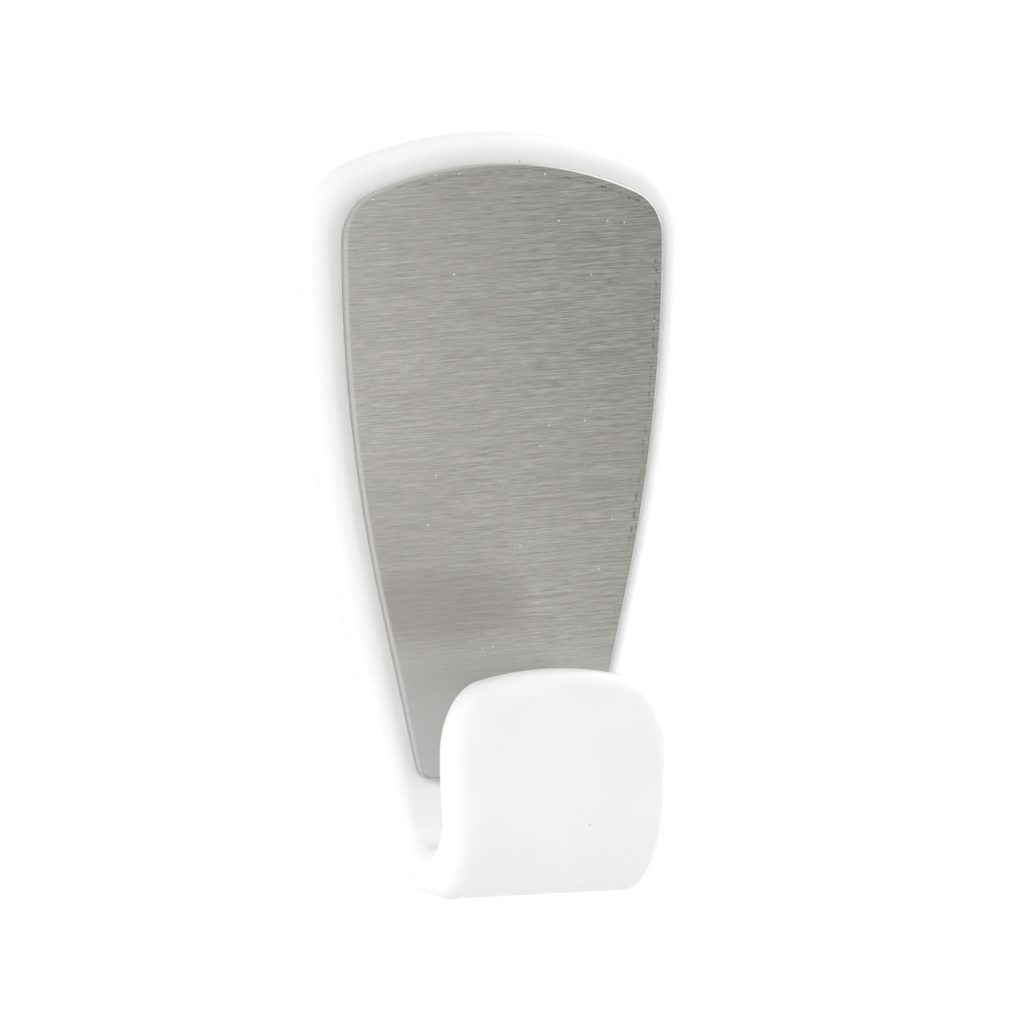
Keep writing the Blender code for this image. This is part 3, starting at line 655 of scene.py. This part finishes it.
# Nicks in a line along the edge: how far in, how far they wander, half the line's width, and its dashes
MARKED_X = (-14.0 * MM, -4.0 * MM)
MARKED_Z = (-22.0 * MM, -12.0 * MM)
MARK_INSET = 0.9 * MM
MARK_WANDER = 0.5 * MM
MARK_WANDER_LENGTH = 1.5 * MM
MARK_REACH = 0.17 * MM
MARK_CORE = 0.05 * MM
MARK_DASH = 0.9 * MM
MARK_GROUP = 9.0 * MM
MARK_SHARE = 0.85
# Specks: spacing, share of the places that have one, and radius
LIGHT_SPECKS = (2.6 * MM, 0.2, 0.09 * MM)
DARK_SPECKS = (4.1 * MM, 0.10, 0.08 * MM)
LIGHT_SPECK_SHARE = 0.9
DARK_SPECK_SHARE = 0.6


def steel_sheet(name, finish):
    """The outline at the back, up the edge, round a quarter circle and some way in over the flat front.

    Two attributes go with the points: how far in from the outline and how far along it they are.
    """
    loop = face_outline(0.0)
    angles = np.linspace(0.0, math.pi / 2, ROUND_STEPS + 1)
    step_in = np.concatenate([[0.0], FACE_EDGE_ROUND * (1 - np.cos(angles)), FACE_FRONT_RINGS])
    depth = np.concatenate([[FACE_BACK_DEPTH], FACE_FRONT_DEPTH - FACE_EDGE_ROUND * (1 - np.sin(angles)),
                            np.full(len(FACE_FRONT_RINGS), FACE_FRONT_DEPTH)])
    sheet = ring_solid(name, [at_depth(inset(loop, i), d) for i, d in zip(step_in, depth)], finish)
    lengths = np.linalg.norm(np.diff(loop, axis=0), axis=1)
    along = np.concatenate([[0.0], np.cumsum(lengths)])
    from_edge = sheet.data.attributes.new("from_edge", "FLOAT", "POINT")
    from_edge.data.foreach_set("value", np.repeat(step_in, len(loop)))
    along_edge = sheet.data.attributes.new("along_edge", "FLOAT", "POINT")
    along_edge.data.foreach_set("value", np.tile(along, len(step_in)))
    return sheet


brushed_steel, steel_shader, steel_place = new_finish("brushed_steel", Anisotropic=0.6,
                                                      Anisotropic_Rotation=0.25)
face_x = steel_place.node("ShaderNodeSeparateXYZ", {}, {0: steel_place}, "X")
face_z = steel_place.node("ShaderNodeSeparateXYZ", {}, {0: steel_place}, "Z")


def streaks(length, width, detail=0.0):
    """Noise drawn out along the brushing: features of a length and a width, on axes turned by the tilt."""
    turned = steel_place.node("ShaderNodeMapping", {"vector_type": "TEXTURE"},
                              {"Vector": steel_place, "Rotation": (0.0, -BRUSH_TILT, 0.0),
                               "Scale": (length, BRUSH_THROUGH, width)})
    return noise(turned, 1.0, detail)


def specks(spacing, share, radius):
    """Round dots on a flat grid of random cells, in a share of the cells: 1 in a dot, else 0."""
    flat_place = face_x.node("ShaderNodeCombineXYZ", {}, {"X": face_x, "Y": face_z})
    settings = {"voronoi_dimensions": "2D"}
    inputs = {"Vector": flat_place, "Scale": 1.0 / spacing}
    near = face_x.node("ShaderNodeTexVoronoi", settings, inputs, "Distance")
    chance = face_x.node("ShaderNodeTexVoronoi", settings, inputs, "Color")
    dot = near.step(1.3 * radius / spacing, 0.7 * radius / spacing)
    return dot * chance.step(1.0 - share, 1.001 - share)


def attribute(name):
    """A number that goes with the sheet's points."""
    return steel_place.node("ShaderNodeAttribute", {"attribute_name": name}, {}, "Fac")


hair = streaks(*HAIR_LINE, 1.0)
fine = streaks(*FINE_LINE)
broad = streaks(*BROAD_LINE, 1.0)
tint = noise(steel_place, TINT_SIZE)
grain = noise(steel_place, GRAIN_SIZE)
# Painted reflection of the lip's white back: the face grows lighter towards its foot
painted_foot_reflection = face_z.step(*FOOT_REFLECTION_Z) * face_x.step(*FOOT_REFLECTION_X, 0.3, 1.0)
upper_right = face_x.step(*UPPER_RIGHT_X) * face_z.step(*UPPER_RIGHT_Z)
# The calmer streaks towards the foot go with the painted reflection of the lip's back
streak_depth = face_z.step(*CALM_FOOT_Z, 0.85, 0.4) * face_x.step(*CALM_LEFT_X, 0.85, 1.0)
streak_depth = streak_depth + 0.6 * upper_right
lines = HAIR_SHARE * (hair - 0.5) + FINE_SHARE * (fine - 0.5)
patches = GRAIN_SHARE * (grain - 0.5) + BROAD_SHARE * (broad - 0.5)
brush = 0.5 + lines * streak_depth + patches
scratch = streaks(*SCRATCH_LINE, 1.0).step(0.66, 0.76) * streak_depth
# An oval that is darker and warmer towards its middle
oval_x = (face_x - OVAL_MIDDLE[0]) * (1.0 / OVAL_HALF[0])
oval_z = (face_z - OVAL_MIDDLE[1]) * (1.0 / OVAL_HALF[1])
warm_dark_oval = (oval_x * oval_x * oval_x * oval_x + oval_z * oval_z).step(1.0, 0.0)
# Painted shade: the face's reflection is darkened at the middle left
painted_shade_patch = face_x.step(*SHADE_PATCH_X) * face_z.step(*SHADE_PATCH_TOP_Z) * face_z.step(*SHADE_PATCH_BOTTOM_Z)
along_edge = steel_place.node("ShaderNodeCombineXYZ", {}, {"X": attribute("along_edge")})
from_edge = attribute("from_edge")
from_marks = from_edge - MARK_INSET + MARK_WANDER * (noise(along_edge, MARK_WANDER_LENGTH) - 0.5)
mark_band = from_marks.step(-MARK_REACH, -MARK_CORE) * from_marks.step(MARK_REACH, MARK_CORE)
mark_dashes = noise(along_edge, MARK_DASH).step(0.43, 0.6) * noise(along_edge, MARK_GROUP).step(0.4, 0.55)
mark_dashes = mark_dashes * face_x.step(*MARKED_X) * face_z.step(*MARKED_Z)
light_specks = LIGHT_SPECK_SHARE * specks(*LIGHT_SPECKS)
dark_specks = DARK_SPECK_SHARE * specks(*DARK_SPECKS)
flat_front = from_edge.step(0.4 * FACE_EDGE_ROUND, FACE_EDGE_ROUND)
cool_tone = brush.step(0.0, 1.0).mix(COOL_DARK, COOL_LIGHT)
warm_tone = brush.step(0.0, 1.0).mix(WARM_DARK, WARM_LIGHT)
warm_share = tint.step(0.3, 0.6) * (1.0 - 0.9 * upper_right)
steel_tone = warm_share.mix(cool_tone, warm_tone)
# Painted reflection: the foot is lighter where it mirrors the lip's back
steel_tone = painted_foot_reflection.mix(steel_tone, FOOT_REFLECTION_LIGHT)
# Painted shade over the middle left of the face
steel_tone = (SHADE_PATCH_SHARE * painted_shade_patch).mix(steel_tone, DIM_WARM)
steel_tone = (OVAL_SHARE * warm_dark_oval).mix(steel_tone, DIM_WARM)
steel_tone = (SCRATCH_SHARE * scratch).mix(steel_tone, SCRATCH_DARK)
steel_tone = (MARK_SHARE * mark_band * mark_dashes).mix(steel_tone, MARK_DARK)
steel_tone = light_specks.mix(steel_tone, SPECK_LIGHT)
steel_tone = dark_specks.mix(steel_tone, MARK_DARK)
edge_tone = from_edge.step(0.0, 0.3 * FACE_EDGE_ROUND).mix(SHEARED_EDGE, ROLLED_EDGE)
steel_tone = flat_front.mix(edge_tone, steel_tone)
feed(steel_shader, "Base Color", steel_tone)
feed(steel_shader, "Metallic", 1.0 - light_specks)
feed(steel_shader, "Roughness", brush.step(0.1, 0.9, 0.34, 0.28))
feed(steel_shader, "Normal", relief(brush, 0.3, BRUSH_HEIGHT))
steel_face = steel_sheet("steel_sheet", brushed_steel)
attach(steel_face, "hook")
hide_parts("steel_face")

# Floor, light and camera
# A pale floor well below the hook, weak light from all round, broad lamps far off and a long lens from
# the front left, slightly above the hook. Floor and room look white to the lens and in the metal, and a
# glowing card at the front right, painted from light to dark and seen only in the metal, gives the steel its
# reflected tone.
SQUARE = np.array([(-1.0, -1.0), (1.0, -1.0), (1.0, 1.0), (-1.0, 1.0)])
FLOOR_DROP = 60.0 * MM
FLOOR_HALF = 3.0
FLOOR_WASH_SIZE = 0.2
FLOOR_WHITE = (0.85, 0.85, 0.85, 1.0)
FLOOR_PALE = (0.87, 0.87, 0.87, 1.0)
FLOOR_GLOW = (0.36, 0.36, 0.36, 1.0)
NO_GLOW = (0.0, 0.0, 0.0, 1.0)
ROOM_WHITE = (1.0, 1.0, 1.0, 1.0)
ROOM_LEVEL = 0.11
# The card stands square to the line on which the flat steel mirrors the lens
CARD_MIDDLE = np.array([70.0, -130.0, -14.0]) * MM
CARD_HALF = np.array([90.0, 100.0]) * MM
CARD_ACROSS = np.array([0.866, 0.5, 0.0])
CARD_UP = np.array([0.0, 0.0, 1.0])
CARD_SHADE = (20.0 * MM, 105.0 * MM)
CARD_SLANT = 0.5
CARD_LIGHT = (1.0, 1.0, 1.0, 1.0)
CARD_DARK = (0.40, 0.40, 0.40, 1.0)
# Lens and sensor in millimetres, as the camera takes them
LENS_LENGTH = 344.5
SENSOR_WIDTH = 36.0
CAMERA_PLACE = (-0.50861, -0.89129, 0.04666)
CAMERA_TILT = math.radians(86.992)
CAMERA_TURN = math.radians(-30.0)


def seen_ray(tree):
    """1 for the rays that show a surface to the lens, straight, mirrored or through glass, else 0."""
    rays = [Socket(tree).node("ShaderNodeLightPath", {}, {}, ray)
            for ray in ("Is Camera Ray", "Is Glossy Ray", "Is Transmission Ray")]
    return (rays[0] + rays[1] + rays[2]).step(0.0, 1.0)


def lamp(name, azimuth, elevation, spread, energy, mirrored=False):
    """A far lamp that shines on the hook from an azimuth, in degrees to the right of the front."""
    light = bpy.data.lights.new(name, "SUN")
    light.angle = math.radians(spread)
    light.energy = energy
    piece = bpy.data.objects.new(name, light)
    piece.rotation_euler = (math.radians(90.0 - elevation), 0.0, math.radians(azimuth))
    piece.visible_glossy = mirrored
    bpy.context.scene.collection.objects.link(piece)


floor_points = np.column_stack([SQUARE * FLOOR_HALF, np.full(len(SQUARE), FOOT_Z - FLOOR_DROP)])
floor_paint, floor_shader, floor_place = new_finish("floor_paint", Roughness=0.9, Specular_IOR_Level=0.1,
                                                    Emission_Strength=1.0)
wash = noise(floor_place, FLOOR_WASH_SIZE)
feed(floor_shader, "Base Color", wash.step(0.2, 0.8).mix(FLOOR_WHITE, FLOOR_PALE))
feed(floor_shader, "Emission Color", seen_ray(floor_paint.node_tree).mix(NO_GLOW, FLOOR_GLOW))
floor = new_mesh("floor", floor_points, [(0, 1, 2, 3)], floor_paint)
floor.visible_shadow = False

world = bpy.data.worlds.new("soft_room")
bpy.context.scene.world = world
world.use_nodes = True
background = world.node_tree.nodes["Background"]
background.inputs["Color"].default_value = ROOM_WHITE
feed(background, "Strength", seen_ray(world.node_tree).step(0.0, 1.0, ROOM_LEVEL, 1.0))
lamp("key_lamp", -45.0, 18.0, 30.0, 1.8)
lamp("left_lamp", -120.0, 6.0, 20.0, 0.8)
lamp("upper_left_lamp", -90.0, 50.0, 50.0, 0.15)
lamp("right_lamp", 80.0, 22.0, 55.0, 1.0)
lamp("front_right_lamp", 55.0, 6.0, 50.0, 0.4)
lamp("low_lamp", 30.0, -35.0, 50.0, 0.25)
lamp("top_lamp", 0.0, 88.0, 50.0, 0.75)
lamp("back_lamp", 180.0, 30.0, 50.0, 0.5)
lamp("glint_lamp", 102.0, 28.0, 50.0, 0.95, mirrored=True)

card_corners = SQUARE * CARD_HALF
card_points = CARD_MIDDLE + card_corners[:, :1] * CARD_ACROSS + card_corners[:, 1:] * CARD_UP
card_glow, card_shader, card_place = new_finish("card_glow", Roughness=1.0, Specular_IOR_Level=0.0,
                                                 Emission_Strength=1.0, Base_Color=NO_GLOW)
card_x = card_place.node("ShaderNodeSeparateXYZ", {}, {0: card_place}, "X")
card_z = card_place.node("ShaderNodeSeparateXYZ", {}, {0: card_place}, "Z")
# The card glows with a painted gradient: light at the lower left, darker towards the upper right
shade = (card_x + CARD_SLANT * card_z).step(*CARD_SHADE)
feed(card_shader, "Emission Color", shade.mix(CARD_LIGHT, CARD_DARK))
card = new_mesh("glowing_card", card_points, [(0, 1, 2, 3)], card_glow)
card.visible_camera = False
card.visible_diffuse = False
card.visible_transmission = False
card.visible_shadow = False

camera_data = bpy.data.cameras.new("camera")
camera_data.sensor_width = SENSOR_WIDTH
camera_data.lens = LENS_LENGTH
camera = bpy.data.objects.new("camera", camera_data)
camera.location = CAMERA_PLACE
camera.rotation_euler = (CAMERA_TILT, 0.0, CAMERA_TURN)
bpy.context.scene.collection.objects.link(camera)
bpy.context.scene.camera = camera
bpy.context.scene.view_settings.view_transform = "Standard"
